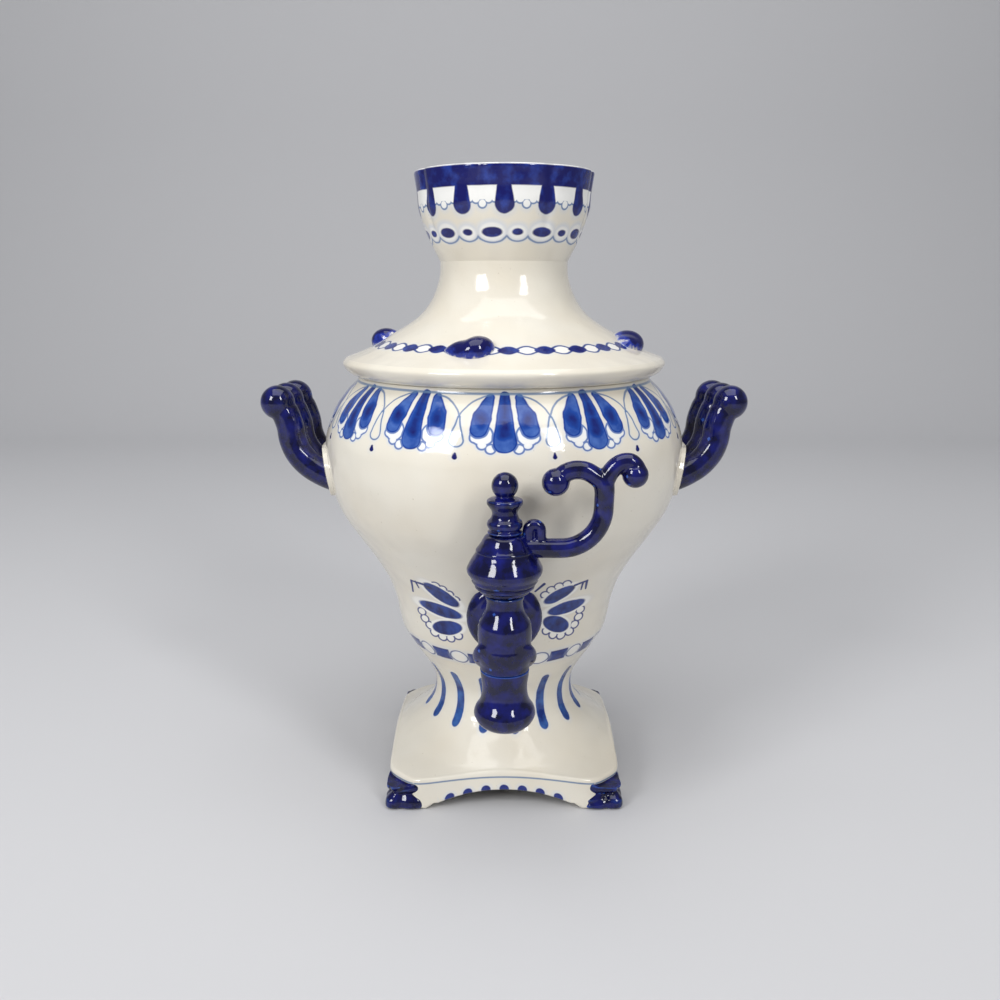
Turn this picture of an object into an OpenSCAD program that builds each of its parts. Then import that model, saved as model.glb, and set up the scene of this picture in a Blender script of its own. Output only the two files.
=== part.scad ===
// Porcelain samovar: a hollow pear-shaped vessel on a square plinth, with a
// crowned lid that lifts off, two scroll handles and a tap with a turning key.
// Millimetres, +Z up. The origin is in the middle of the space that the whole
// object takes up, in the plane that the four feet stand on. The tap points
// along -Y, so the vessel's vertical axis stands a little behind the origin.

/* [Vessel] */
// Largest outside radius of the belly
belly_r = 76.5; // [74:0.5:79]
// Thickness of the cast wall
wall = 3.3; // [2.8:0.1:3.8]
// Radius of the mouth that the lid's ring drops into
mouth_r = 54; // [52:0.5:56]

/* [Lid and crown] */
// Outside radius of the lid's flange
flange_r = 68; // [66:0.5:70]
// Radius of the lid's neck at its narrowest
neck_r = 26.6; // [25:0.2:28]
// Outside radius of the crown at its lip
crown_r = 36.9; // [35.5:0.1:38]
// Height of the crown's lip above the ground
crown_top_z = 260; // [257:1:263]
// Flat floor of the crown, which carries a small teapot
crown_floor_r = 28; // [26:0.5:29]
// Turn of the lid's four bosses about the vertical axis
boss_turn = -15.6; // [-45:0.1:45]

/* [Plinth and feet] */
// Half the width of the square plinth
plinth_half = 49.3; // [48:0.1:51]
// Leg length of the corner chamfers
chamfer = 11.2; // [10:0.1:12.5]
// Height of the arch in each side of the plinth
arch_top_z = 9.2; // [8:0.1:10]
// Radius of the pads under the corners
foot_r = 7.7; // [7:0.1:8]

/* [Handles] */
// Distance from the axis to the centre of the scroll head
scroll_x = 93.6; // [92:0.2:96]
// Radius of one rib of the handle
rib_r = 5.8; // [5.6:0.1:6.2]
// Spacing of the three ribs
rib_pitch = 11; // [10.4:0.1:11.2]
// Radius of the scroll head
scroll_r = 7.2; // [6.8:0.1:7.6]
// Turn of the handle about its own upright, front edge outward
handle_toe = 8; // [0:1:12]

/* [Tap] */
// Distance from the vessel's axis to the key's axis
key_y = 88; // [86.5:0.5:90]
// Height of the waterway through the tap
water_z = 87; // [86:0.5:88]
// Radius of the waterway
water_r = 3; // [2.4:0.1:3.2]
// Radius of the key's plug
plug_r = 4.6; // [4.4:0.1:4.8]
// Gap between the plug and its barrel, on the radius
plug_gap = 0.08; // [0.03:0.01:0.1]
// Radius of the spout's flared nozzle
nozzle_r = 11.2; // [10.6:0.1:11.6]

/* [Key] */
// Radius of the key's bulb
bulb_r = 13.5; // [13:0.1:14]
// Radius of the lever's rod
lever_r = 2.9; // [2.6:0.1:3]

/* [Hidden] */

$fn = 96;
eps = 0.02;
axis_y = (key_y + bulb_r - belly_r) / 2;    // the vessel's axis, behind the origin
cobalt = [0.09, 0.11, 0.45];
cream = [0.93, 0.91, 0.85];

base_z = 57.3;          // joint between vessel and pedestal
base_r = 39.1;
rim_z = 178.2;          // top of the vessel
rim_r = 61.9;
floor_z = 60.8;         // inside bottom of the vessel
seat_gap = 0.2;         // lid above the rim
flange_z = 183.4;       // widest part of the lid
crown_z = 224.5;        // joint between lid and crown
foot_joint_z = 31.2;    // joint between pedestal and plinth
foot_joint_r = 33.3;
skirt_z = 0.5;          // underside of the plinth
foot_h = 14;
foot_at = plinth_half - foot_r + 0.3;
arch_half = 28;         // half width of the arch at its springing
arch_rise = 6.2;
arch_r = (arch_half * arch_half + arch_rise * arch_rise) / (2 * arch_rise);
root_z = 135;           // centre of the handle's root
bend_r = 13.5;          // handle's bend
upright_x = scroll_x - 5;   // centre of the handle's upright
lean_z = 154.5;         // where the upright starts to lean out to the scroll
lean_r = 16;
lean = 35;
scroll_z = 167;
barrel_top_z = 108.4;
spout_end_z = 58;
key_z = 108.7;          // underside of the key's bulb

// A smooth curve through the points p, n steps to a span
function blend4(a, b, c, d, t) = 0.5 * (2 * b + (c - a) * t
    + (2 * a - 5 * b + 4 * c - d) * t * t + (3 * b - a - 3 * c + d) * t * t * t);
function smooth(p, n = 3) = let (m = len(p) - 1) concat(
    [for (i = [0:m - 1], j = [0:n - 1])
        blend4(p[max(i - 1, 0)], p[i], p[i + 1], p[min(i + 2, m)], j / n)],
    [p[m]]);
// The curve c moved by d to its right, which is outward on a rising outline
function moved(c, d) = let (m = len(c) - 1) [for (i = [0:m])
    let (t = c[min(i + 1, m)] - c[max(i - 1, 0)]) c[i] + d * [t[1], -t[0]] / norm(t)];
function back(c) = [for (i = [len(c) - 1:-1:0]) c[i]];
function below(c, z) = [for (q = c) if (q[1] < z) q];
function above(c, z) = [for (q = c) if (q[1] > z) q];
function arc(x, y, r, a, b, n = 8) = [for (i = [0:n])
    [x + r * cos(a + (b - a) * i / n), y + r * sin(a + (b - a) * i / n)]];

body_curve = smooth([[base_r, base_z], [42, 62], [45.2, 67.4], [46.9, 74],
    [48.4, 81.5], [51.7, 91], [57.3, 100.9], [belly_r - 11.7, 112],
    [belly_r - 5.1, 122.8], [belly_r - 1.2, 135], [belly_r, 146],
    [belly_r - 0.9, 155], [belly_r - 4.7, 164.8], [66.8, 171.8], [62.6, 175.8]]);
pedestal_curve = smooth([[foot_joint_r, foot_joint_z], [31.7, 34.5], [31, 39],
    [31.4, 43.5], [32.7, 47], [34.6, 50.4], [36.9, 54], [base_r, base_z]]);
plinth_curve = back(smooth([[foot_joint_r, foot_joint_z], [36.4, 27.4], [40.4, 23.8],
    [45, 20.4], [49.3, 17.2], [55, 14.9], [62, 13.4], [72, 12.6]]));
neck_curve = smooth([[flange_r - 1.3, 185.5], [flange_r - 6.3, 187.4],
    [57.6, 189.1], [52.6, 191.7], [46.8, 195.2], [41.6, 198.3], [36.6, 201.7],
    [33.2, 205], [30.2, 209.4], [28, 214.6], [neck_r + 0.2, 219.4], [neck_r, crown_z]]);

module lathe(c) { rotate_extrude() polygon(c); }

// Moves what is drawn about the vessel's axis to its place behind the origin
module seated() translate([0, axis_y, 0]) children();

// Everything inside the vessel's outer surface moved outward by grow
module body_solid(grow) {
    lathe(concat([[0, base_z]], [[base_r, base_z]], moved(body_curve, grow),
        [[rim_r, rim_z]], [[0, rim_z]]));
}

module body_shell() color(cream) seated() difference() {
    lathe(concat([[0, base_z]], body_curve, [[rim_r, 176.7], [rim_r, rim_z - 0.6],
        [rim_r - 0.6, rim_z], [mouth_r + 0.5, rim_z], [mouth_r, rim_z - 0.5],
        [mouth_r, 174.4], [mouth_r + 2, 173.2]],
        back(above(below(moved(body_curve, -wall), 172), floor_z)), [[0, floor_z]]));
    translate([0, 0, water_z]) rotate([90, 0, 0]) cylinder(r = water_r, h = key_y);
}

module pedestal() color(cream) seated()
    lathe(concat(pedestal_curve, [[base_r - wall - 0.6, base_z]],
        back(above(below(moved(pedestal_curve, -wall), base_z - 1), foot_joint_z + 1)),
        [[foot_joint_r - wall - 0.3, foot_joint_z]]));

module square_prism(half, cut, z0, z1) translate([0, 0, z0]) linear_extrude(z1 - z0)
    polygon([[half, cut - half], [half, half - cut], [half - cut, half],
        [cut - half, half], [-half, half - cut], [-half, cut - half],
        [cut - half, -half], [half - cut, -half]]);

module foot_shape(x, y) translate([x * foot_at, y * foot_at, 0]) lathe(concat([[0, 0]],
    smooth([[foot_r - 1.6, 0], [foot_r - 0.3, 1.2], [foot_r, 3], [foot_r - 0.6, 5.2],
        [foot_r - 1.5, 7], [foot_r - 1.3, 8.6], [foot_r - 0.5, 10.6],
        [foot_r - 1.2, 12.6], [foot_r - 4, foot_h]]), [[0, foot_h]]));

module arches() for (a = [0, 90]) rotate([0, 0, a])
    translate([0, plinth_half + 5, arch_top_z - arch_r]) rotate([90, 0, 0]) {
        cylinder(r = arch_r, h = 2 * plinth_half + 10, $fn = 240);
        translate([-arch_half - 3.5, 0, 0])
            cube([2 * arch_half + 7, arch_r - arch_top_z + 3, 2 * plinth_half + 10]);
    }

module plinth() color(cream) seated() difference() {
    intersection() {
        square_prism(plinth_half, chamfer, skirt_z, foot_joint_z);
        lathe(concat([[0, 0], [72, 0]], plinth_curve, [[0, foot_joint_z]]));
    }
    intersection() {
        square_prism(plinth_half - 4.6, chamfer + 4, -1, foot_joint_z + 1);
        lathe(concat([[0, -1], [72, -1]], moved(plinth_curve, -4),
            [[foot_joint_r - wall, foot_joint_z + 1], [0, foot_joint_z + 1]]));
    }
    arches();
    for (x = [-1, 1], y = [-1, 1]) foot_shape(x, y);
}

module foot(x, y) color(cobalt) seated() foot_shape(x, y);

// Moves a handle drawn along +X to its side and turns it on its own upright
module handle_place(s) mirror([s < 0 ? 1 : 0, 0, 0])
    translate([scroll_x, 0, 0]) rotate([0, 0, handle_toe]) translate([-scroll_x, 0, 0])
        children();

module ribs_2d(r) for (k = [-1:1]) translate([0, k * rib_pitch]) circle(r = r);

module handle_shape() {
    bend_x = upright_x - bend_r;
    translate([bend_x, 0, root_z]) rotate([0, -90, 0])
        linear_extrude(bend_x - 60) ribs_2d(rib_r);
    translate([bend_x, 0, root_z + bend_r]) rotate([90, 0, 0]) rotate([0, 0, -90])
        rotate_extrude(angle = 90) translate([bend_r, 0]) ribs_2d(rib_r);
    translate([upright_x, 0, root_z + bend_r])
        linear_extrude(lean_z - root_z - bend_r) ribs_2d(rib_r);
    translate([upright_x + lean_r, 0, lean_z]) rotate([90, 0, 0]) rotate([0, 0, 180 - lean])
        rotate_extrude(angle = lean) translate([lean_r, 0]) ribs_2d(rib_r);
    translate([scroll_x, 0, scroll_z]) rotate([90, 0, 0]) rotate_extrude()
        intersection() {
            ribs_2d(scroll_r);
            translate([0, -40]) square([40, 80]);
        }
}

module pad_shape() translate([60, 0, root_z + 3]) rotate([90, 0, 90]) linear_extrude(30) {
    for (k = [-1, 1]) translate([k * rib_pitch, 0]) circle(r = 10.2);
    square([2 * rib_pitch, 20.4], center = true);
}

module handle_pad(s) color(cream) seated() difference() {
    intersection() {
        handle_place(s) pad_shape();
        body_solid(1.6);
    }
    body_solid(0);
}

module handle(s) color(cobalt) seated() difference() {
    handle_place(s) handle_shape();
    body_solid(0);
    intersection() {
        handle_place(s) pad_shape();
        body_solid(1.6);
    }
}

// Puts a lathe drawn along +Z on the tap's level axis, pointing along -Y
module on_pipe() translate([0, 0, water_z]) rotate([90, 0, 0]) children();

module tap_rosette() color(cobalt) seated() difference() {
    on_pipe() lathe(concat([[0, 40]], [[14.2, 40]],
        arc(11.4, 53.2, 3.6, -40, 90), [[9.2, 57.4], [0, 57.4]]));
    body_solid(0);
    on_pipe() cylinder(r = water_r, h = key_y);
}

module tap_barrel() color(cobalt) seated() difference() {
    union() {
        on_pipe() translate([0, 0, 57.4]) cylinder(r = 8.4, h = key_y - 57.4);
        translate([0, -key_y, 0]) {
            translate([0, 0, water_z]) sphere(r = 9.6);
            translate([0, 0, water_z]) lathe(concat([[0, 0]], [[8.2, 0]],
                smooth([[8.2, 8.4], [8.9, 10.3], [8.3, 12], [6.9, 15], [6.2, 17.6]]),
                [[6.2, 20], [6.8, 20.4], [6.8, 21], [6.4, barrel_top_z - water_z],
                [0, barrel_top_z - water_z]]));
            translate([0, 0, water_z - 2]) rotate([-45, 0, 0])
                rotate_extrude() polygon(concat([[0, -2.8]], arc(8.6, 0, 2.8, -90, 90),
                [[0, 2.8]]));
            translate([0, 0, 80]) cylinder(r = 8.9, h = water_z - 80);
        }
    }
    on_pipe() cylinder(r = water_r, h = key_y);
    translate([0, -key_y, 79.9]) cylinder(r = plug_r + plug_gap, h = 60);
    translate([0, -key_y, 70]) cylinder(r = water_r + 0.4, h = 20);
    translate([0, -key_y, 60]) cylinder(r = 40, h = 20);
}

module tap_spout() color(cobalt) seated() translate([0, -key_y, 0]) difference() {
    lathe(concat([[0, 80], [0, spout_end_z], [nozzle_r - 4, spout_end_z]],
        smooth([[nozzle_r - 4, spout_end_z], [nozzle_r - 1.4, spout_end_z + 1.8],
        [nozzle_r, spout_end_z + 4.8], [nozzle_r - 0.5, spout_end_z + 7.2],
        [nozzle_r - 2.3, spout_end_z + 9.6], [8.2, 71], [8.3, 75], [8.9, 80]])));
    translate([0, 0, spout_end_z - 1]) cylinder(r = water_r + 0.4, h = 40);
    translate([0, 0, spout_end_z - eps])
        cylinder(r1 = nozzle_r - 5, r2 = water_r + 0.4, h = 6);
}

module lid_solid() lathe(concat([[0, rim_z + seat_gap], [rim_r + 0.9, rim_z + seat_gap]],
    smooth([[rim_r + 0.9, rim_z + seat_gap], [flange_r - 1.9, 180.3], [flange_r, flange_z],
        [flange_r - 1.3, 185.5]]), neck_curve, [[0, crown_z]]));

module lid_shell() color(cream) seated() difference() {
    lid_solid();
    lathe(concat([[0, 170], [mouth_r - 4.2, 170], [mouth_r - 4.2, rim_z + 2.4]],
        above(below(moved(neck_curve, -wall), 240), rim_z + 6.2),
        [[neck_r - wall, crown_z + 1], [0, crown_z + 1]]));
}

module lid_ring() color(cream) seated() lathe([[mouth_r - 4.2, rim_z + seat_gap],
    [mouth_r - 4.2, 170.6], [mouth_r - 3.8, 170.2], [mouth_r - 1.4, 170.2],
    [mouth_r - 1, 170.8], [mouth_r - 1, rim_z + seat_gap]]);

crown_curve = smooth([[neck_r, crown_z], [27.9, 227.1], [30.3, 231.8], [32.4, 236.6],
    [34.3, 242], [35.4, 246], [crown_r - 1.2, 250.6], [crown_r - 0.6, 255],
    [crown_r, crown_top_z - 1.2]]);

module crown() color(cream) seated() lathe(concat([[0, crown_z]], crown_curve,
    arc(crown_r - 1, crown_top_z - 1, 1, 0, 90, 4),
    arc(crown_r - 2.4, crown_top_z - 1, 1, 90, 180, 4),
    [[crown_r - 4.4, 246], [crown_r - 4.8, 243.6], [crown_floor_r + 0.8, 237.4],
    [crown_floor_r, 236.6], [0, 236.6]]));

module boss(a) color(cobalt) seated() difference() {
    rotate([0, 0, boss_turn + a]) translate([0, -53.2, 191.4]) rotate([0, 90, 0]) lathe(
        concat([[0, -10]], smooth([[0.8, -10], [2.9, -8.8], [4.1, -5.6], [4.9, -0.6],
        [6.2, 3.6], [6.5, 6.6], [4.7, 9.4], [0.8, 10.6]]), [[0, 10.6]]));
    lid_solid();
}

module key_plug() color(cobalt) seated() translate([0, -key_y, 0]) difference() {
    translate([0, 0, 80.2]) cylinder(r = plug_r, h = key_z - 80.2);
    translate([0, 0, 79]) cylinder(r = water_r - 0.2, h = water_z + 2.5 - 79);
    translate([0, 0, water_z]) rotate([0, -90, 0]) cylinder(r = water_r - 0.2, h = 10);
}

module key_bulb() color(cobalt) seated() translate([0, -key_y, 0]) lathe(concat([[0, key_z]],
    [[7, key_z], [8.6, 109.1], [9.6, 109.9]],
    arc(10.1, 111.2, 0.7, -90, 60, 4), arc(11, 113, 0.8, -80, 60, 4),
    smooth([[11.9, 114.4], [bulb_r - 0.5, 116], [bulb_r, 118.1], [bulb_r - 0.8, 119.9],
    [10.1, 124.2], [7.4, 128.4], [6.2, 130.2]]), [[0, 130.2]]));

module key_finial() color(cobalt) seated() translate([0, -key_y, 0]) lathe(concat([[0, 130.2],
    [6.2, 130.2]], arc(5.3, 131.2, 0.7, -60, 70, 4), arc(4.5, 133.9, 1.8, -60, 70, 6),
    [[4.7, 136.6], [4.5, 138.2]], smooth([[4.8, 139.2], [6.2, 141], [6.4, 142],
    [5.9, 143], [3.6, 143.6], [3.1, 144]], 2), arc(0, 147.7, 4.7, -50, 90, 12)));

// A rod of the lever, in the plane through the key's axis
module rod(a, b, r) translate([a[0], 0, a[1]])
    rotate([0, atan2(b[0] - a[0], b[1] - a[1]), 0]) cylinder(r = r, h = norm(b - a));
// A bent rod: r thick, about c, at radius big, from angle a through sweep
module bend(c, big, r, a, sweep) translate([c[0], 0, c[1]]) rotate([90, 0, 0])
    rotate([0, 0, a]) rotate_extrude(angle = sweep) translate([big, 0]) circle(r = r);
module bead(c, r) translate([c[0], 0, c[1]]) sphere(r = r);

module key_lever() color(cobalt) seated() translate([0, -key_y, 0]) difference() {
    arm_r = lever_r - 0.3;
    curl_r = 1.9;
    fork = [34.6, 150];
    union() {
        rod([6, 125.2], [19.8, 125.2], lever_r);
        bend([19.8, 139.8], 14.6, lever_r, -90, 90);
        rod([34.4, 139.8], fork, lever_r);
        bead(fork, lever_r + 0.5);
        bend([26, 141.2], 12, arm_r, 45, 93);
        bead([17.6, 148.8], 4.7);
        bend([40.2, 149.7], 5.6, arm_r, 20, 157);
        bead([45.3, 151.8], 4.2);
        rod([12.6, 125.2], [12.6, 131.6], curl_r);
        bend([10.3, 131.6], 2.3, curl_r, 0, 180);
        rod([8, 127], [8, 131.6], curl_r);
    }
    lathe([[0, 100], [16, 100], [bulb_r, 118.1], [10.1, 124.2], [7.4, 128.4],
        [6.2, 130.2], [6.2, 140], [0, 140]]);
}

body_shell();
pedestal();
plinth();
foot(-1, -1);  // foot_front_left
foot(1, -1);  // foot_front_right
foot(-1, 1);  // foot_back_left
foot(1, 1);  // foot_back_right
handle_pad(-1);  // handle_pad_left
handle_pad(1);  // handle_pad_right
handle(-1);  // handle_left
handle(1);  // handle_right
tap_rosette();
tap_barrel();
tap_spout();
lid_shell();
lid_ring();
crown();
boss(0);  // boss_front
boss(90);  // boss_right
boss(180);  // boss_back
boss(270);  // boss_left
key_plug();
key_bulb();
key_finial();
key_lever();
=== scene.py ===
import functools
import math

import bpy
import numpy as np
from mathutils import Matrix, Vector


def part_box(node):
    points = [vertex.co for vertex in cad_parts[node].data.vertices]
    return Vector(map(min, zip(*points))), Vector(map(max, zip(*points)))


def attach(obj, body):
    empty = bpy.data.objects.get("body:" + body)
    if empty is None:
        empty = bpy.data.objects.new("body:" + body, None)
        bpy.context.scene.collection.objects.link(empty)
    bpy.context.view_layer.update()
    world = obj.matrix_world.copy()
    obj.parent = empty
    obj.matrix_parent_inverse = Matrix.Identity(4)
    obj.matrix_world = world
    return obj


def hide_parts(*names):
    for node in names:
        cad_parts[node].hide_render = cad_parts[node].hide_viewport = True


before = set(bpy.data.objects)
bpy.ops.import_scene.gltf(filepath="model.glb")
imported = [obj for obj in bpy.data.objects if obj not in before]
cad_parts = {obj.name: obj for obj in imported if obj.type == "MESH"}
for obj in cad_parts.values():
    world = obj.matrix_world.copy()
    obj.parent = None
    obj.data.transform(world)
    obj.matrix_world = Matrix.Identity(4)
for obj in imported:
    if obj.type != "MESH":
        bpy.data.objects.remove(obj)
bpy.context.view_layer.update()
MM = 0.001
# The vessel's upright axis stands behind the origin. Shapes are drawn about that axis.
AXIS = (0, sum(corner[1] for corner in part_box("body_shell")) / 2 / MM, 0)


def spread(node):
    """Lowest and highest corner of a CAD node, in millimetres from the vessel's axis."""
    return [np.array(corner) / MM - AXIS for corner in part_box(node)]


# ---------------------------------------------------------------- sizes
base_z = spread("pedestal")[1][2]          # joint between vessel and pedestal
foot_joint_z = spread("plinth")[1][2]      # joint between pedestal and plinth
rim_z = spread("body_shell")[1][2]
belly_r = spread("body_shell")[1][0]
crown_z = spread("crown")[0][2]
lip_z = spread("crown")[1][2]
crown_r = spread("crown")[1][0]
flange_r = spread("lid_shell")[1][0]
lid_z = spread("lid_shell")[0][2]
plinth_half = spread("plinth")[1][0]
skirt_z = spread("plinth")[0][2]
foot_h = spread("foot_front_left")[1][2]
foot_low, foot_high = spread("foot_front_right")
foot_r = (foot_high[0] - foot_low[0]) / 2
foot_at = (foot_high[0] + foot_low[0]) / 2
bulb_r = spread("key_bulb")[1][0]
key_z = spread("key_bulb")[0][2]
key_y = -(spread("key_bulb")[0][1] + bulb_r)
spout_z = spread("tap_spout")[0][2]
nozzle_r = spread("tap_spout")[1][0]

WALL = 3.3
MOUTH_R = 54.0
NECK_R = 26.6
RIM_R = 61.9
BASE_R = 39.1
JOINT_R = 33.3
CHAMFER = 11.2
WATER_Z = 87.0
ARCH_TOP = 9.2
ARCH_HALF = 28.0
ARCH_RISE = 6.2
ARCH_R = (ARCH_HALF**2 + ARCH_RISE**2) / (2 * ARCH_RISE)
BOSS_TURN = math.radians(-15.6)
IN_WALL = 1.6              # a depth below the vessel's skin that is inside its wall
VESSEL_FLOOR = 3.5
PIPE_R = 8.4
SCROLL_X, SCROLL_Z, SCROLL_R = 93.6, 167.0, 7.2
RIB_R, RIB_PITCH, TOE = 5.8, 11.0, math.radians(8)


# ---------------------------------------------------------------- curves
def smooth(points, steps=8):
    """Catmull-Rom curve: on each span the cubic whose slope at a point is half the
    chord between that point's neighbours."""
    p = np.asarray(points, float)
    q = np.vstack([p[:1], p, p[-1:]])
    a, b, c, d = q[:-3, None], q[1:-2, None], q[2:-1, None], q[3:, None]
    t = np.linspace(0, 1, steps, endpoint=False)[:, None]
    spans = 0.5 * (2 * b + (c - a) * t + (2 * a - 5 * b + 4 * c - d) * t**2
                   + (3 * b - a - 3 * c + d) * t**3)
    return np.vstack([spans.reshape(-1, p.shape[1]), p[-1:]])


def moved(curve, d):
    """The curve moved by d along its normal, outward on a rising outline."""
    slope = np.gradient(curve, axis=0)
    normal = np.stack([slope[:, 1], -slope[:, 0]], 1)
    return curve + d * normal / np.linalg.norm(normal, axis=1)[:, None]


def arc(x, z, r, start, end, steps):
    """Points of a circle about (x, z) from one angle to the other, in degrees."""
    t = np.radians(np.linspace(start, end, steps + 1))
    return np.stack([x + r * np.cos(t), z + r * np.sin(t)], 1)


body_curve = smooth([
    (BASE_R, base_z), (42, 62), (45.2, 67.4), (46.9, 74), (48.4, 81.5), (51.7, 91),
    (57.3, 100.9), (belly_r - 11.7, 112), (belly_r - 5.1, 122.8), (belly_r - 1.2, 135),
    (belly_r, 146), (belly_r - 0.9, 155), (belly_r - 4.7, 164.8), (66.8, 171.8),
    (62.6, 175.8)])
pedestal_curve = smooth([
    (JOINT_R, foot_joint_z), (31.7, 34.5), (31, 39), (31.4, 43.5), (32.7, 47),
    (34.6, 50.4), (36.9, 54), (BASE_R, base_z)])
plinth_curve = smooth([
    (JOINT_R, foot_joint_z), (36.4, 27.4), (40.4, 23.8), (45, 20.4), (49.3, 17.2),
    (55, 14.9), (62, 13.4), (72, 12.6)])
neck_curve = smooth([
    (flange_r - 1.3, 185.5), (flange_r - 6.3, 187.4), (57.6, 189.1), (52.6, 191.7),
    (46.8, 195.2), (41.6, 198.3), (36.6, 201.7), (33.2, 205), (30.2, 209.4),
    (28, 214.6), (NECK_R + 0.2, 219.4), (NECK_R, crown_z)])
crown_curve = smooth([
    (NECK_R, crown_z), (27.9, 227.1), (30.3, 231.8), (32.4, 236.6), (34.3, 242),
    (35.4, 246), (crown_r - 1.2, 250.6), (crown_r - 0.6, 255), (crown_r, lip_z - 1.2)])


def body_reach(z):
    """Outside radius of the vessel at a height."""
    return np.interp(z, body_curve[:, 1], body_curve[:, 0])


# ---------------------------------------------------------------- surfaces
def turned(outline, columns=240):
    """An outline (radius, height) turned about the upright axis: each row of the
    grid is the circle (r cos t, r sin t, z)."""
    t = np.linspace(0, 2 * math.pi, columns, endpoint=False)
    r, z = np.asarray(outline, float).T[:, :, None]
    return np.stack([r * np.cos(t), r * np.sin(t), z + 0 * t], -1)


def placed(grid, at, tilt=0.0):
    """The grid tipped about X by tilt degrees and moved to a point."""
    c, s = math.cos(math.radians(tilt)), math.sin(math.radians(tilt))
    return grid @ np.array([[1, 0, 0], [0, c, s], [0, -s, c]]) + np.asarray(at, float)


def rod(path, radius, side, columns=28, cap_rows=6):
    """A round rod along a path: at each point a circle square to the path, as wide
    as radius says. side is a direction square to the whole path. Rows that shrink as
    a quarter circle round off both ends."""
    path = np.asarray(path, float)
    radius = np.broadcast_to(np.asarray(radius, float), len(path))
    run = np.gradient(path, axis=0)
    run /= np.linalg.norm(run, axis=1)[:, None]
    q = np.radians(np.linspace(88, 0, cap_rows))[:, None]
    head = path[0] - run[0] * radius[0] * np.sin(q)
    tail = path[-1] + run[-1] * radius[-1] * np.sin(q[::-1])
    centre = np.vstack([head, path[1:-1], tail])
    run = np.vstack([run[:1].repeat(cap_rows, 0), run[1:-1], run[-1:].repeat(cap_rows, 0)])
    wide = np.concatenate([radius[0] * np.cos(q[:, 0]), radius[1:-1],
                           radius[-1] * np.cos(q[::-1, 0])])[:, None, None]
    a = np.asarray(side, float) + 0 * run
    b = np.cross(run, a)
    t = np.linspace(0, 2 * math.pi, columns, endpoint=False)[None, :, None]
    return centre[:, None] + wide * (a[:, None] * np.cos(t) + b[:, None] * np.sin(t))


def ball(at, r, rows=24, columns=36):
    """A sphere: circles of radius r cos q at height r sin q."""
    q = np.radians(np.linspace(-87, 87, rows))
    return turned(np.stack([r * np.cos(q), r * np.sin(q)], 1), columns) + np.asarray(at)


def skin(grid, loop=False):
    """Points and faces of a closed skin over a grid. Columns run round it. Rows run
    along it and meet again if loop, or else each end row closes on its mean point."""
    rows, columns = grid.shape[:2]
    points = grid.reshape(-1, 3)
    i = np.arange(rows if loop else rows - 1)[:, None]
    j = np.arange(columns)[None, :]
    k, n = (i + 1) % rows, (j + 1) % columns
    faces = np.stack([i * columns + j, i * columns + n, k * columns + n,
                      k * columns + j], -1).reshape(-1, 4).tolist()
    if not loop:
        points = np.vstack([points, grid[0].mean(0), grid[-1].mean(0)])
        here, beside = j[0], n[0]
        low, high = rows * columns, rows * columns + 1
        top = (rows - 1) * columns
        faces += np.stack([beside, here, low + 0 * here], -1).tolist()
        faces += np.stack([top + here, top + beside, high + 0 * here], -1).tolist()
    return points, faces


def meshed(name, points, faces, crease=38):
    """An object at the origin with its place in its mesh. Edges sharper than crease
    degrees stay sharp, the rest are shaded smooth."""
    mesh = bpy.data.meshes.new(name)
    mesh.from_pydata(((np.asarray(points) + AXIS) * MM).tolist(), [], faces)
    mesh.polygons.foreach_set("use_smooth", np.ones(len(mesh.polygons), bool))
    mesh.set_sharp_from_angle(angle=math.radians(crease))
    mesh.update()
    piece = bpy.data.objects.new(name, mesh)
    bpy.context.scene.collection.objects.link(piece)
    return piece


def fused(name, grids, voxel, relax, keep=None):
    """Closed skins that run into each other made one: the union is rebuilt from its
    voxels and relaxed, which gives the soft joins of slip-cast clay. keep moves the
    points afterwards."""
    points, faces, start = [], [], 0
    for grid in grids:
        p, f = skin(grid)
        points.append(p)
        faces += [[v + start for v in face] for face in f]
        start += len(p)
    rough = meshed(name + "_rough", np.vstack(points), faces)
    remesh = rough.modifiers.new("voxels", "REMESH")
    remesh.mode = "VOXEL"
    remesh.voxel_size = voxel * MM
    soften = rough.modifiers.new("soften", "SMOOTH")
    soften.factor = 0.5
    soften.iterations = relax
    whole = rough.evaluated_get(bpy.context.evaluated_depsgraph_get()).to_mesh()
    co = np.empty(len(whole.vertices) * 3, np.float32)
    whole.vertices.foreach_get("co", co)
    co = co.reshape(-1, 3) / MM - AXIS
    corners = np.empty(len(whole.loops), np.int32)
    whole.loops.foreach_get("vertex_index", corners)
    starts = np.empty(len(whole.polygons), np.int32)
    whole.polygons.foreach_get("loop_start", starts)
    faces = [c.tolist() for c in np.split(corners, starts[1:])]
    bpy.data.objects.remove(rough)
    return meshed(name, co if keep is None else keep(co), faces)


def mark_outside(piece, outline):
    """Writes 1 on each point of the outer skin of a hollow piece and 0 on the rest."""
    x, y, z = (np.array([v.co for v in piece.data.vertices]) / MM - AXIS).T
    outer = np.hypot(x, y) > np.interp(z, outline[:, 1], outline[:, 0]) - IN_WALL
    marks = piece.data.attributes.new("outside", "FLOAT", "POINT")
    marks.data.foreach_set("value", outer.astype(np.float32))
    return piece


def clear_of_vessel(points):
    """Points that would show inside the vessel are moved out into its wall."""
    points = np.array(points, float)
    reach = np.hypot(points[..., 0], points[..., 1])
    wall_r = body_reach(points[..., 2]) - IN_WALL
    out = np.where(reach < wall_r, wall_r / np.maximum(reach, 1e-6), 1)
    points[..., :2] *= out[..., None]
    return points


# ---------------------------------------------------------------- glaze and paint
def linear(code):
    """An sRGB hex colour as linear light."""
    c = np.array([int(code[i:i + 2], 16) for i in (1, 3, 5)]) / 255
    return (*np.where(c <= 0.04045, c / 12.92, ((c + 0.055) / 1.055) ** 2.4), 1.0)


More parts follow.
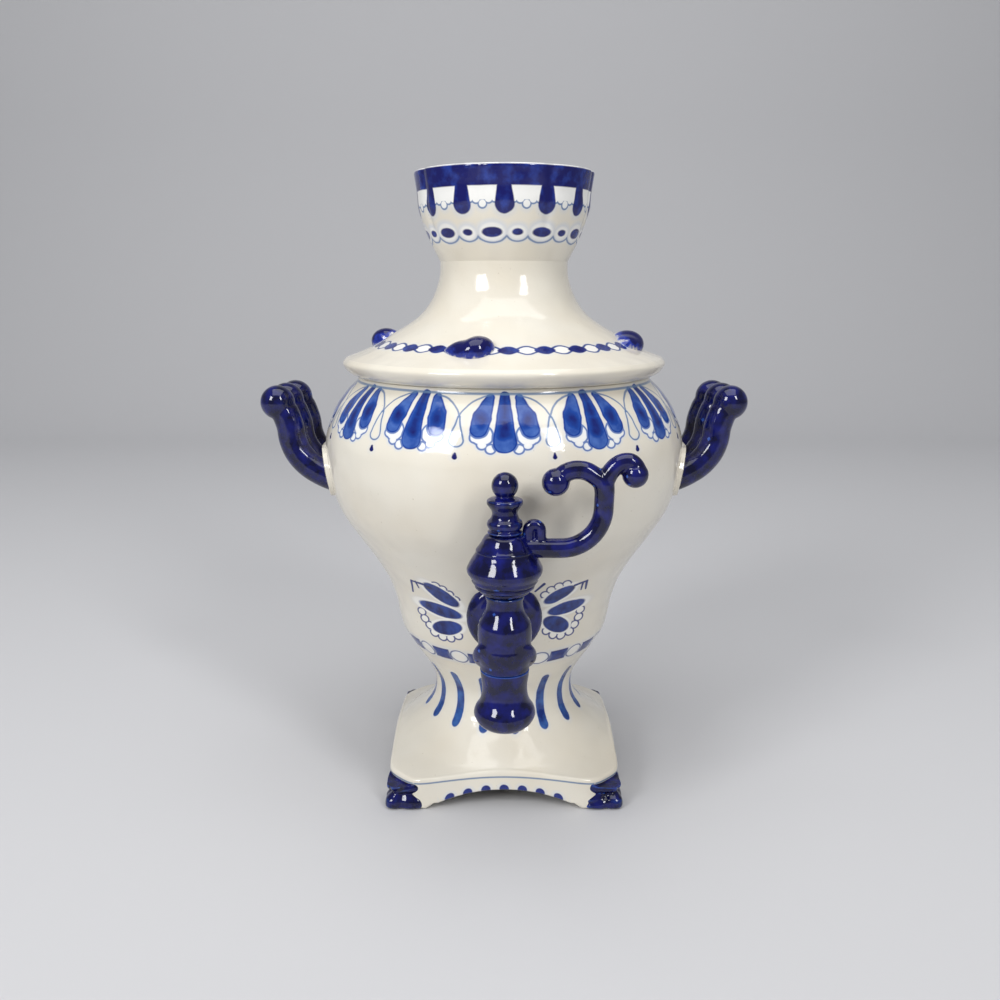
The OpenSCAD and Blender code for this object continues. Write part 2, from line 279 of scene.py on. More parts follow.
def add(tree, kind, inputs=None, **settings):
    """A new node: settings are its properties, inputs are its sockets by name or
    number, each with a value or with the field that is linked to it."""
    node = tree.nodes.new(kind)
    for key, value in settings.items():
        setattr(node, key, value)
    for key, value in (inputs or {}).items():
        if isinstance(value, Field):
            tree.links.new(value.socket, node.inputs[key])
        else:
            node.inputs[key].default_value = value
    return node


class Field:
    """A number, point or colour that varies over a surface. Arithmetic written with
    it becomes the nodes that work it out at every point."""

    def __init__(self, socket):
        self.socket = socket

    def calc(self, operation, *others, clamp=False, kind="ShaderNodeMath", out=0):
        inputs = dict(enumerate((self, *others)))
        node = add(self.socket.id_data, kind, inputs, operation=operation)
        if clamp:
            node.use_clamp = True
        return Field(node.outputs[out])

    def point(self, operation, *others, out=0):
        return self.calc(operation, *others, kind="ShaderNodeVectorMath", out=out)

    __add__ = __radd__ = lambda self, other: self.calc("ADD", other)
    __mul__ = __rmul__ = lambda self, other: self.calc("MULTIPLY", other)
    __sub__ = lambda self, other: self.calc("SUBTRACT", other)
    __rsub__ = lambda self, other: self.calc("MULTIPLY_ADD", -1.0, other)
    __abs__ = lambda self: self.calc("ABSOLUTE")


def least(*fields):
    return functools.reduce(lambda a, b: a.calc("MINIMUM", b), fields)


def most(*fields):
    return functools.reduce(lambda a, b: a.calc("MAXIMUM", b), fields)


def inside(distance, soft=0.3):
    """1 inside an outline and 0 outside it, from the distance to it in millimetres."""
    return distance.calc("MULTIPLY_ADD", -1 / soft, 0.5, clamp=True)


def line(distance, width):
    """Distance to a brush line of that width drawn along an outline."""
    return abs(distance) - width / 2


def repeat(turn, count, first=0.0):
    """Turn from the middle of the nearest of count equal sectors, in radians. first
    is the middle of one of them, in degrees."""
    half = math.pi / count
    return (turn - math.radians(first)).calc("WRAP", half, -half)


def dab(place, start, end, start_r, end_r):
    """Distance to a brush dab: round at both ends, start_r and end_r wide about the
    points start and end, and tapered between them."""
    run = (end[0] - start[0], end[1] - start[1], 0)
    length = run[0] ** 2 + run[1] ** 2
    away = place.point("SUBTRACT", (*start, 0))
    share = away.point("DOT_PRODUCT", run, out=1).calc("MULTIPLY", 1 / length, clamp=True)
    spine = add(share.socket.id_data, "ShaderNodeVectorMath", {0: run, 3: share},
                operation="SCALE")
    off = away.point("DISTANCE", Field(spine.outputs[0]), out=1)
    return off - share.calc("MULTIPLY_ADD", end_r - start_r, start_r)


def leaf(place, start, end, wide):
    """Distance to a leaf: an ellipse between its two tips, wide to each side."""
    half = math.dist(start, end) / 2
    c, d = (end[0] - start[0]) / half / 2, (end[1] - start[1]) / half / 2
    away = place.point("SUBTRACT", ((start[0] + end[0]) / 2, (start[1] + end[1]) / 2, 0))
    along = away.point("DOT_PRODUCT", (c * wide / half, d * wide / half, 0), out=1)
    across = away.point("DOT_PRODUCT", (-d, c, 0), out=1)
    return (along * along + across * across).calc("SQRT") - wide


def spot(place, centre, radius):
    """Distance to a circle, or to an ellipse if radius is a pair."""
    if isinstance(radius, tuple):
        small = min(radius)
        scaled = place.point("SUBTRACT", (*centre, 0)).point(
            "MULTIPLY", (small / radius[0], small / radius[1], 0))
        return scaled.point("LENGTH", out=1) - small
    return place.point("DISTANCE", (*centre, 0), out=1) - radius


# Clear glaze and what shows through it
CREAM = "#E5E0D3"          # over warm white porcelain
CREAM_THICK = "#DED6C5"    # the same glaze where it lies thicker
IRON = "#B9AE98"           # specks in the clay
WHITE = "#F4F2EC"          # spared ground inside a drawn outline
LACE_WHITE = "#F6F5F0"
# Cobalt, thin and thick
BLEED = "#C3D0E6"          # wandered into the glaze
BOSS_PALE = "#7C9AD6"
WASH = "#5C80C6"           # one thin pass of the brush
RIM_LINE = "#5F7B9E"
LINER = "#51719F"          # thin outline
SCALLOP_LINE = "#4668A8"
OVAL_LINE = "#33457F"
LOZENGE_LINE = "#3A4D86"
FRILL_LINE = "#1C2E76"
HOOK = "#1C2B6E"
RIDGE_BLUE_AND_HIGHLIGHT = "#3157AE"      # cobalt run thin over a ridge, partly a painted highlight there
BRUSH = "#174093"          # a full brush
BOSS_BLUE, BOSS_DEEP = "#1F3293", "#0D0F50"
POOL = "#10145E"           # two strokes on each other
# The thin and the thick end of one stroke
FAN_TONES = "#22459A", "#0C1350"
STROKE_TONES = "#3C68AC", "#142A70"
DOT_TONES = "#2B3F8E", POOL
LOZENGE_TONES = "#2B4596", POOL
TONGUE_TONES = "#2A48A6", POOL
SOLID_TONES = "#06072E", "#141A6E"   # thick, then thinner


class Glaze:
    """A porcelain material being painted: coordinates in millimetres, a slow and a
    fine unevenness, and the colour so far."""

    def __init__(self, name, colour):
        self.material = bpy.data.materials.new(name)
        self.material.use_nodes = True
        self.tree = tree = self.material.node_tree
        tree.nodes.clear()
        where = Field(add(tree, "ShaderNodeTexCoord").outputs["Object"])
        self.place = where.point("MULTIPLY_ADD", (1 / MM,) * 3, tuple(-c for c in AXIS))
        split = add(tree, "ShaderNodeSeparateXYZ", {0: self.place})
        self.x, self.y, self.z = (Field(s) for s in split.outputs)
        self.reach = (self.x * self.x + self.y * self.y).calc("SQRT")
        self.turn = self.x.calc("ARCTAN2", self.y * -1.0)
        self.hand = self.noise(7.0, 2.0, colour=True)      # tremble of the brush
        self.cloud = self.noise(4.5, 3.0)                  # thick and thin pigment
        self.colour = linear(colour)

    def noise(self, size, detail, colour=False):
        """Noise with blobs of that size in millimetres."""
        node = add(self.tree, "ShaderNodeTexNoise", {
            "Vector": self.place, "Scale": 1 / size, "Detail": detail})
        return Field(node.outputs["Color" if colour else "Fac"])

    def flat(self, across, up, tremble):
        """A drawing plane on the surface, with the tremble of a hand in it."""
        plane = Field(add(self.tree, "ShaderNodeCombineXYZ", {0: across, 1: up}).outputs[0])
        shake = self.hand.point("MULTIPLY_ADD", (tremble * 2, tremble * 2, 0),
                                (-tremble, -tremble, 0))
        return plane.point("ADD", shake)

    def mix(self, a, b, share):
        """Colour a where share is 0 and b where it is 1."""
        node = add(self.tree, "ShaderNodeMix", {0: share, 6: a, 7: b}, data_type="RGBA")
        return Field(node.outputs[2])

    def shade(self, tones, share):
        """Between the two hex colours of tones."""
        return self.mix(linear(tones[0]), linear(tones[1]), share)

    def coat(self, colour, cover):
        """One more layer of colour where cover is 1."""
        if isinstance(colour, str):
            colour = linear(colour)
        self.colour = self.mix(self.colour, colour, cover)

    def cobalt(self, distance, depth, halo=0.35):
        """Cobalt brushed inside an outline: it bleeds a little into the white glaze,
        gathers at the edge of the stroke and is as strong as depth says, 0 to 1."""
        if halo:
            self.coat(BLEED, inside(distance - 0.9, 2.2) * halo)
        edge = inside(line(distance + 0.35, 0.3), 0.5)
        strength = edge * 0.35 + depth
        strength = self.cloud.calc("MULTIPLY_ADD", 0.7, strength - 0.35)
        wash = self.shade((WASH, BRUSH), strength.calc("MULTIPLY", 1.9, clamp=True))
        pool = strength.calc("MULTIPLY_ADD", 2.2, -1.2, clamp=True)
        self.coat(self.mix(wash, linear(POOL), pool), inside(distance, 0.35))

    def drawn(self, distance, width, tone=LINER):
        """A thin line of thinned cobalt."""
        self.coat(BLEED, inside(line(distance, width + 1.2), 1.4) * 0.3)
        self.coat(tone, inside(line(distance, width), 0.28) * 0.9)

    def outside_only(self, bare):
        """The painting is kept on the outer skin, and the inside is left bare."""
        outside = Field(add(self.tree, "ShaderNodeAttribute",
                            attribute_name="outside").outputs["Fac"])
        self.colour = self.mix(bare, self.colour, outside)

    def fired(self, roughness=0.09, relief=0.5):
        """The clear glaze: a glassy surface that swells a little, as it has run and
        set. relief is the height in millimetres of the noise's whole range."""
        swell = self.noise(13.0, 1.0)
        pits = self.noise(1.1, 2.0)
        height = pits.calc("MULTIPLY_ADD", 0.05, swell)
        bump = add(self.tree, "ShaderNodeBump",
                   {"Height": height, "Strength": 1.0, "Distance": relief * MM})
        shader = add(self.tree, "ShaderNodeBsdfPrincipled", {
            "Base Color": self.colour, "Roughness": roughness, "IOR": 1.52,
            "Normal": Field(bump.outputs[0])})
        add(self.tree, "ShaderNodeOutputMaterial", {0: Field(shader.outputs[0])})
        return self.material


def white_ware(name):
    """Porcelain under a clear glaze: warm white, faintly cloudy, with a few darker
    specks of iron."""
    g = Glaze(name, CREAM)
    drift = g.noise(34.0, 2.0)
    g.coat(CREAM_THICK, drift.calc("MULTIPLY_ADD", 2.4, -0.85, clamp=True))
    speck = g.noise(0.9, 0.0)
    g.coat(IRON, speck.calc("MULTIPLY_ADD", 24.0, -20.2, clamp=True) * 0.5)
    return g


def vessel_glaze():
    """The vessel's painting: fans and loops under the rim, two half fans beside the
    tap and a chain round the foot."""
    g = white_ware("glazed porcelain, painted vessel")
    bare = g.colour
    rim_paint_z, chain_z = 176.5, 64.6
    # Thirteen fans, drawn down from the rim. The shoulder slants, so a millimetre of
    # height is a little more along it.
    fans = 13
    down = (rim_paint_z - g.z) * 1.19
    fan_turn = repeat(g.turn, fans)
    across = abs(fan_turn) * g.reach
    p = g.flat(across, down, 0.55)
    centre = dab(p, (0, 1), (0, 19.4), 1.9, 4.4)
    side = least(dab(p, (5.2, 1.6), (8.2, 9.4), 1.6, 3.7),
                 dab(p, (8.2, 9.4), (9.5, 14.2), 3.7, 3.3))
    petals = least(centre, side)
    lobes = least(spot(p, (10.8, 17.6), 1.9), spot(p, (8.2, 20.3), 1.9),
                  spot(p, (5.1, 21.9), 1.9), spot(p, (8.2, 16.4), 4.2))
    g.coat(BLEED, inside(least(petals, lobes) - 0.4, 2.0) * 0.35)
    g.coat(WHITE, inside(lobes, 0.6) * 0.8)
    g.drawn(most(lobes, 0.2 - petals), 0.75, SCALLOP_LINE)
    dark = least(dab(p, (0, 11.5), (0, 15.5), 1.6, 2.4), spot(p, (8.4, 10.2), (2.0, 2.8)),
                 dab(p, (0, 1), (0, 9), 1.0, 1.2))
    depth = inside(dark, 2.6) * 0.5 + 0.38
    g.cobalt(petals, depth, halo=0)
    between = (math.pi / fans - abs(fan_turn)) * g.reach
    q = g.flat(between, down, 0.55)
    loop = dab(q, (0, 9.6), (0, 18.6), 0.5, 2.7)
    sweep = most(abs(spot(q, (11.5, 12.8), 12.1)), down - 9.4, between - 10.0)
    g.drawn(loop, 0.7)
    g.coat(LINER, inside(sweep - 0.36, 0.3) * 0.85)
    g.cobalt(dab(q, (0, 24.2), (0, 25.6), 0.6, 1.05), 0.95, halo=0.2)
    # Rim line
    g.coat(RIM_LINE, inside(line(g.z - 176.4, 0.9), 0.4) * 0.85)
    # Half fans each side of the tap
    front = inside(g.y + 8, 2.0)
    for petals, lines, frill in (LEFT_FAN, RIGHT_FAN):
        p = g.flat(g.x, g.z, 0.35)
        strokes = least(*(leaf(p, *petal) for petal in petals))
        g.coat(BLEED, inside(strokes - 0.8, 2.2) * front * 0.3)
        scallops = least(*(spot(p, at, r) for at, r in frill))
        outline = least(strokes - 0.9, scallops)
        edge = inside(line(outline, 0.65), 0.3) * inside(scallops - strokes + 0.7, 0.3)
        g.coat(WHITE, inside(outline, 0.5) * front * 0.7)
        g.coat(FRILL_LINE, edge * front * 0.95)
        g.coat(HOOK, inside(least(*(dab(p, *stroke) for stroke in lines)), 0.3) * front)
        tone = g.shade(FAN_TONES, g.cloud.calc("MULTIPLY_ADD", 2.6, -0.75, clamp=True))
        g.coat(tone, inside(strokes, 0.35) * front)
    # Chain: sixteen rectangles with white ovals between
    links = 16
    link_turn = repeat(g.turn, links, -36.5)
    p = g.flat(abs(link_turn) * g.reach, g.z - chain_z, 0.3)
    block = p.point("ABSOLUTE").point("SUBTRACT", (4.2, 2.6, 0))
    edges = add(g.tree, "ShaderNodeSeparateXYZ", {0: block}).outputs
    block = most(Field(edges[0]), Field(edges[1])) - 0.2
    gap = (math.pi / links - abs(link_turn)) * g.reach
    oval = spot(g.flat(gap, g.z - chain_z, 0.3), (0, 0), (3.9, 3.1))
    g.coat(WHITE, inside(oval, 0.5) * 0.7)
    g.cobalt(block, 0.75)
    g.drawn(oval, 0.5, OVAL_LINE)
    g.outside_only(bare)
    return g.fired()


# Half fans beside the tap: petals as (tip, tip, half width), hooks as (start, end,
# radius, radius) and the frill's scallops as (centre, radius), all in (x, height).
LEFT_FAN = (
    [((-32.6, 98.6), (-18.2, 89.6), 3.0), ((-35.0, 87.6), (-17.0, 84.6), 2.9),
     ((-29.6, 76.6), (-17.2, 79.6), 3.3)],
    [((-37.7, 98.3), (-33.0, 97.8), 0.45, 0.6), ((-37.7, 98.3), (-37.5, 92.0), 0.55, 0.4),
     ((-36.0, 98.4), (-34.6, 95.2), 0.5, 0.3)],
    [((-27.6, 98.4), 2.0), ((-24.6, 97.2), 1.8), ((-21.8, 95.0), 1.8), ((-19.4, 92.6), 1.7),
     ((-34.2, 83.0), 1.8), ((-33.0, 79.8), 1.8), ((-30.8, 77.2), 1.8), ((-28.8, 74.4), 1.8),
     ((-25.4, 73.4), 1.8), ((-22.0, 73.6), 1.8), ((-18.8, 75.2), 1.7)])
RIGHT_FAN = (
    [((15.8, 91.6), (28.2, 98.2), 2.8), ((17.4, 86.4), (33.2, 89.0), 2.9),
     ((16.0, 83.4), (26.4, 77.4), 3.6)],
    [((12.2, 98.0), (15.6, 101.3), 0.45, 0.6), ((28.2, 98.6), (33.3, 99.7), 0.55, 0.5),
     ((33.3, 99.7), (33.0, 95.4), 0.6, 0.4), ((31.6, 98.8), (31.0, 95.4), 0.5, 0.3)],
    [((16.2, 95.6), 1.8), ((18.6, 98.0), 1.8), ((21.6, 99.4), 1.8), ((24.8, 100.0), 1.8),
     ((31.4, 84.8), 1.8), ((30.8, 81.4), 1.8), ((29.2, 78.2), 1.8), ((27.0, 75.4), 1.8),
     ((23.4, 74.6), 1.8), ((20.0, 75.6), 1.8), ((17.2, 78.0), 1.7)])


def foot_strokes(g):
    """Sixteen strokes down the pedestal and out on to the plinth."""
    strokes = 16
    across = repeat(g.turn, strokes, -37.3) * g.reach
    stroke = dab(g.flat(across, g.z, 0.35), (0, 51.4), (0, 29.8), 1.9, 2.1)
    tone = g.shade(STROKE_TONES, g.cloud.calc("MULTIPLY_ADD", 2.2, -0.5, clamp=True))
    g.coat(BLEED, inside(stroke - 0.7, 1.8) * 0.3)
    g.coat(tone, inside(stroke, 0.35))


def pedestal_glaze():
    g = white_ware("glazed porcelain, pedestal strokes")
    foot_strokes(g)
    return g.fired()


def plinth_glaze():
    """The plinth: a thin line below its top edge and seven half-round dots over each
    arch."""
    g = white_ware("glazed porcelain, painted plinth")
    foot_strokes(g)
    out = g.reach - plinth_half
    top = out.calc("MULTIPLY", out) * 0.006 + (17.2 - out * 0.38)
    wall = most(abs(g.x), abs(g.y), (abs(g.x) + abs(g.y)) - (2 * plinth_half - CHAMFER)
                + plinth_half)
    on_side = inside((plinth_half - 1.0) - wall, 0.4)
    g.coat(RIM_LINE, inside(line(g.z - (top - 1.9), 0.7), 0.35) * on_side * 0.9)
    along = least(abs(g.x), abs(g.y))
    rise = (ARCH_R**2 - along * along).calc("SQRT") + (ARCH_TOP - ARCH_R)
    pitch = 7.6
    step = along.calc("WRAP", pitch / 2, -pitch / 2)
    dots = spot(g.flat(step, g.z - rise, 0.25), (0, 0.6), 2.0)
    dots = most(dots, along - 3.5 * pitch)      # seven of them
    tone = g.shade(DOT_TONES, g.cloud)
    g.coat(BLEED, inside(dots - 0.8, 1.6) * on_side * 0.4)
    g.coat(tone, inside(dots, 0.3) * on_side)
    return g.fired()


def lid_glaze():
    """The lid: a chain of lozenges round the foot of the neck."""
    g = white_ware("glazed porcelain, painted lid")
    bare = g.colour
    links = 24
    turn = repeat(g.turn, links, 1.6)
    chain_r = 53.0
    out = g.reach - chain_r
    shapes = []
    for across in (abs(turn) * g.reach, (math.pi / links - abs(turn)) * g.reach):
        p = g.flat(across, out, 0.35).point("ABSOLUTE").point("MULTIPLY", (0.56, 1, 0))
        shapes.append(p.point("DOT_PRODUCT", (0.78, 0.78, 0), out=1)
                      .calc("SMOOTH_MAX", p.point("LENGTH", out=1), 0.6) - 2.35)
    above = inside(184.0 - g.z, 0.5)
    dark, pale = shapes
    g.coat(BLEED, inside(least(dark, pale) - 0.6, 1.8) * above * 0.35)
    g.coat(WHITE, inside(pale, 0.5) * above * 0.7)
    g.coat(LOZENGE_LINE, inside(line(pale, 0.7), 0.3) * above)
    tone = g.shade(LOZENGE_TONES, g.cloud.calc("MULTIPLY_ADD", 2.2, -0.5, clamp=True))
    g.coat(tone, inside(dark, 0.35) * above)
    g.outside_only(bare)
    return g.fired()


def crown_glaze():
    """The crown: a cobalt band with tongues below a white lip, a lace line between
    the tongues, and a string of beads over a scalloped line."""
    g = white_ware("glazed porcelain, painted crown")
    # The outside of the flare, a little under the skin at each height
    flare = least((g.z - crown_z) * 0.5 + NECK_R, (g.z - 231.8) * 0.37 + 30.3,
                  (g.z - 246.0) * 0.09 + 35.4)
    outside = inside(flare - 1.5 - g.reach, 0.4)
    tongues = 13
    turn = repeat(g.turn, tongues)
    p = g.flat(abs(turn) * g.reach, g.z, 0.45)
    tongue = dab(p, (0, 253), (0, 245.4), 2.6, 3.8)
    band = most(251.9 - g.z, g.z - 259.5)
    blue = least(tongue, band)
    between = (math.pi / tongues - abs(turn)) * g.reach
    q = g.flat(between, g.z, 0.3)
    lace = least(spot(q, (0, 245.4), 1.7), spot(q, (2.5, 247.2), 1.8),
                 spot(q, (4.9, 247.2), 1.5), most(246.4 - g.z, between - 6.6))
    g.coat(BLEED, inside(least(lace, blue) - 1.0, 2.4) * outside * 0.4)
    g.coat(LACE_WHITE, inside(lace, 0.5) * outside * 0.8)
    g.coat(LINER, inside(line(lace, 0.65), 0.3) * inside(g.z - 247.4, 0.4) * outside * 0.9)
    tone = g.shade(TONGUE_TONES, g.cloud.calc("MULTIPLY_ADD", 2.4, -0.3, clamp=True))
    g.coat(tone, inside(blue, 0.45) * outside)
    beads, bead_z = 10, 235.1
    ring = repeat(g.turn, beads, -8.7)
    p = g.flat(abs(ring) * g.reach, g.z, 0.35)
    q = g.flat((math.pi / beads - abs(ring)) * g.reach, g.z, 0.35)
    string = least(spot(p, (0, bead_z), (4.1, 1.9)), spot(q, (0, bead_z), (2.2, 1.25)))
    swag = least(spot(p, (0, 235.3), (6.2, 4.1)), spot(q, (0, 235.0), (4.6, 3.3)))
    g.coat(BLEED, inside(swag - 0.4, 1.6) * outside * 0.45)
    g.coat(WHITE, inside(swag + 0.8, 0.8) * outside * 0.7)
    g.coat(LINER, inside(line(swag, 0.6), 0.35) * inside(g.z - 234.0, 0.8) * outside * 0.85)
    g.coat(tone, inside(string, 0.4) * outside)
    return g.fired()


def plain_glaze():
    return white_ware("glazed porcelain, plain").fired()


def cobalt_glaze():
    """Solid cobalt under glossy glaze: almost black where it is thick in hollows, and a
    lively blue painted on edges and ridges, partly where the glaze has run thin there and
    partly a painted highlight."""
    g = Glaze("cobalt glaze, glossy", POOL)
    ridge = Field(add(g.tree, "ShaderNodeNewGeometry").outputs["Pointiness"])
    streak = g.noise(3.2, 3.0).calc("MULTIPLY_ADD", 1.1, -0.62)
    # thin is painted highlight mixed with thin glaze: convex ridges (pointiness) and noise
    # streaks get a lighter blue
    thin = (ridge.calc("MULTIPLY_ADD", 20.0, -10.3) + streak).calc("ADD", 0.0, clamp=True)
    g.colour = g.shade(SOLID_TONES, g.cloud.calc("MULTIPLY_ADD", 2.6, -1.0, clamp=True))
    g.coat(RIDGE_BLUE_AND_HIGHLIGHT, thin * 0.85)
    return g.fired(0.06, 0.4)


def boss_glaze():
    """Cobalt over the top of each leaf, broken into light blue and white below."""
    g = Glaze("cobalt glaze, worn to white", CREAM)
    blot = g.noise(2.6, 3.0)
    height = (g.z - 189.0) - (53.0 - g.reach) * 0.6
    g.coat(BOSS_PALE, blot.calc("MULTIPLY_ADD", 6.0, -2.6, clamp=True))
    low = height.calc("MULTIPLY_ADD", 0.55, -1.1) + blot.calc("MULTIPLY_ADD", 4.0, -2.0)
    g.coat(BOSS_BLUE, low.calc("ADD", 0.0, clamp=True))
    g.coat(BOSS_DEEP, (low - 1.2).calc("ADD", 0.0, clamp=True))
    return g.fired(0.07)


# ---------------------------------------------------------------- pieces
def vessel():
    """Up the outside, over the rounded rim, past the mouth's ledge and down inside."""
    floor = base_z + VESSEL_FLOOR
    inner = moved(body_curve, -WALL)
    inner = inner[(inner[:, 1] < 172) & (inner[:, 1] > floor)][::-1]
    return turned(np.vstack([
        [(BASE_R - 3, base_z)], body_curve, [(RIM_R, 176.7)],
        arc(RIM_R - 0.6, rim_z - 0.6, 0.6, 0, 90, 5),
        arc(MOUTH_R + 0.5, rim_z - 0.5, 0.5, 90, 180, 4),
        [(MOUTH_R, 174.4), (MOUTH_R + 2, 173.2)], inner, [(4, floor)]]), 300)


def pedestal():
    """The waisted neck between vessel and plinth, open at both ends."""
    inner = moved(pedestal_curve, -WALL)
    inner = inner[(inner[:, 1] < base_z - 1) & (inner[:, 1] > foot_joint_z + 1)][::-1]
    return turned(np.vstack([pedestal_curve, [(BASE_R - WALL, base_z)], inner,
                             [(JOINT_R - WALL, foot_joint_z)]]), 240)


def plinth():
    """Rows run down the domed top, round its edge, down the side, under it and back up
    inside. Each column's reach is where its direction meets the chamfered square: the
    soft least of half / |cos|, half / |sin| and the chamfer's plane."""
    t = np.linspace(0, 2 * math.pi, 720, endpoint=False)
    c, s = np.abs(np.cos(t)), np.abs(np.sin(t))

    def square(half, cut, power=34):
        faces = np.stack([half / np.maximum(c, 0.02), half / np.maximum(s, 0.02),
                          (2 * half - cut) / (c + s)])
        return (faces ** -power).sum(0) ** (-1 / power) * 1.004

    def dome(r):
        return np.interp(r, plinth_curve[:, 0], plinth_curve[:, 1])

    edge = 1.7
    reach = square(plinth_half, CHAMFER)
    inset = square(plinth_half - 4.6, CHAMFER + 4)
    along = np.minimum(reach * c, reach * s)
    arch = ARCH_TOP - ARCH_R + np.sqrt(np.maximum(ARCH_R**2 - along**2, 0))
    step = np.clip((along - ARCH_HALF - 1.5) / 3.5, 0, 1)
    foot = np.where(along < ARCH_HALF, arch, 3) * (1 - step) + skirt_z * step
    foot = np.maximum(foot, skirt_z)
    rows = []
    for u in np.linspace(0, 1, 30):
        r = JOINT_R + (reach - edge - JOINT_R) * u
        rows.append((r, dome(r)))
    shoulder = dome(reach - edge)
    for q in np.radians(np.linspace(15, 90, 6)):
        rows.append((reach - edge + edge * np.sin(q), shoulder - edge * (1 - np.cos(q))))
    for u in np.linspace(0.1, 1, 9):
        rows.append((reach, (shoulder - edge) * (1 - u) + (foot + 0.5) * u))
    rows.append((reach - 0.5, foot))
    for u in np.linspace(0, 1, 4)[1:]:
        rows.append((reach - 0.5 + (inset - reach + 0.5) * u, foot))
    for u in np.linspace(0, 1, 6)[1:]:
        rows.append((inset, foot + (dome(inset) - 4 - foot) * u))
    for u in np.linspace(0, 1, 14)[1:]:
        r = inset + (JOINT_R - WALL - inset) * u
        rows.append((r, dome(r + 2) - 4 * (1 - u) - 1.0 * u))
    rows.append((JOINT_R - WALL + 0 * t, foot_joint_z + 0 * t))
    return np.stack([np.stack([r * np.cos(t), r * np.sin(t), z], -1) for r, z in rows])


def foot(x, y):
    """A moulded claw under one corner: its plan is |x|^n + |y|^n = r^n with r varying
    with height, a leaf above and a fuller toe below, with grooves cut between."""
    profile = smooth([
        (foot_r - 1.0, 0), (foot_r + 0.5, 0.9), (foot_r + 0.8, 2.2), (foot_r + 0.4, 4.0),
        (foot_r - 0.8, 5.6), (foot_r - 1.4, 6.6), (foot_r - 0.8, 7.6),
        (foot_r - 0.1, 9.2), (foot_r - 0.4, 11.2), (foot_r - 2.0, 12.9),
        (foot_r - 5.0, foot_h)], 5)
    t = np.linspace(0, 2 * math.pi, 96, endpoint=False)
    n = 6
    plan = (np.abs(np.cos(t)) ** n + np.abs(np.sin(t)) ** n) ** (-1 / n)
    plan = 1 + (plan - 1) * 0.85
    r, z = profile.T[:, :, None]
    outward = math.atan2(y, x)
    swing = (t - outward + math.pi) % (2 * math.pi) - math.pi
    upper = 1 / (1 + np.exp(-(z - 6.6) * 2.2))
    vein = 0.9 * np.exp(-((swing * 8) ** 2)) * upper
    curls = 0.75 * np.exp(-(((np.abs(swing) - 0.62) * 5) ** 2)) * (1 - upper)
    slant = 0.7 * np.exp(-(((z - 7.4 - 3.2 * swing) / 1.1) ** 2))
    r = r * plan - vein - curls - slant * np.clip(z / 3, 0, 1)
    across, along = x * foot_at + r * np.cos(t), y * foot_at + r * np.sin(t)
    away = np.hypot(across, along)
    under = np.interp(away, plinth_curve[:, 0], plinth_curve[:, 1])
    under -= 0.7 + 0.35 * np.clip(away - 57, 0, 6)
    return np.stack([across, along, np.minimum(z, under)], -1)


def handle(side):
    """Three ribs that leave the vessel rising a little, bend upward, lean out and end
    in rolled heads."""
    path = smooth([(64, 0, 134.2), (70, 0, 135.4), (76, 0, 137.8), (81.4, 0, 141.2),
                   (85.6, 0, 146), (87.8, 0, 151.4), (88.6, 0, 157), (90.4, 0, 162.4)], 5)
    grids = []
    for k in (-1, 0, 1):
        shift = np.array([0, k * RIB_PITCH, 0])
        grids.append(rod(path + shift, RIB_R, (0, -1, 0)))
        grids.append(ball((SCROLL_X, k * RIB_PITCH, SCROLL_Z), SCROLL_R, 28, 40))
    out = []
    c, s = math.cos(TOE), math.sin(TOE)
    for grid in grids:
        x, y, z = np.moveaxis(grid, -1, 0)
        x, y = SCROLL_X + (x - SCROLL_X) * c - y * s, (x - SCROLL_X) * s + y * c
        out.append(np.stack([side * x, y, z], -1)[:, ::side])
    return out


def rosette():
    """A thick disc with a rounded face that sits on the vessel behind the tap."""
    outline = np.vstack([
        [(13.6, 40), (14.3, 46), (14.8, 50)], arc(11.2, 53.2, 3.8, -25, 90, 14),
        [(10.2, 57.2), (9.4, 57.6), (6, 57.6)]])
    return clear_of_vessel(placed(turned(outline, 120), (0, 0, WATER_Z), 90))


def barrel():
    """Level pipe, upright socket with its bell, round elbow and slanted collar."""
    y = -key_y
    socket = np.vstack([[(5, 0)], smooth([
        (9.2, 0.5), (9.7, 5), (9.7, 8.4), (9.4, 10.6), (8.4, 12.6), (7.0, 15.2),
        (6.5, 17.4), (6.6, 19.4), (7.1, 20.6), (6.9, 21.2)]), [(4, 21.3)]])
    collar = np.vstack([[(3, -3.0)], arc(8.7, 0, 2.9, -80, 80, 12), [(3, 3.0)]])
    pipe = [(0, -52.5, WATER_Z), (0, -60, WATER_Z), (0, -72, WATER_Z), (0, y, WATER_Z)]
    outlet = [(6, 80.0), (8.9, 80.05), (8.95, 83), (8.9, WATER_Z)]
    return [
        rod(pipe, PIPE_R, (1, 0, 0), 48),
        placed(turned(socket, 72), (0, y, WATER_Z)),
        ball((0, y, WATER_Z - 0.3), 9.9, 32, 48),
        placed(turned(collar, 72), (0, y, WATER_Z - 2.0), -45),
        placed(turned(outlet, 60), (0, y, 0)),
    ]


def spout():
    """The pipe down from the tap, which swells into a bead at its mouth."""
    outline = np.vstack([
        [(3.4, 78), (3.4, spout_z + 6), (nozzle_r - 5, spout_z + 0.4)],
        smooth([(nozzle_r - 4.4, spout_z), (nozzle_r - 3.2, spout_z + 0.2),
                (nozzle_r - 1.3, spout_z + 1.9), (nozzle_r - 0.2, spout_z + 4),
                (nozzle_r, spout_z + 5.6), (nozzle_r - 0.6, spout_z + 7.6),
                (nozzle_r - 2.0, spout_z + 9.8), (8.5, spout_z + 12), (8.2, spout_z + 14.4),
                (8.3, 75), (8.7, 77.8), (8.9, 80)], 5),
        [(5, 80.0)]])
    return turned(outline, 96) + np.array([0, -key_y, 0])


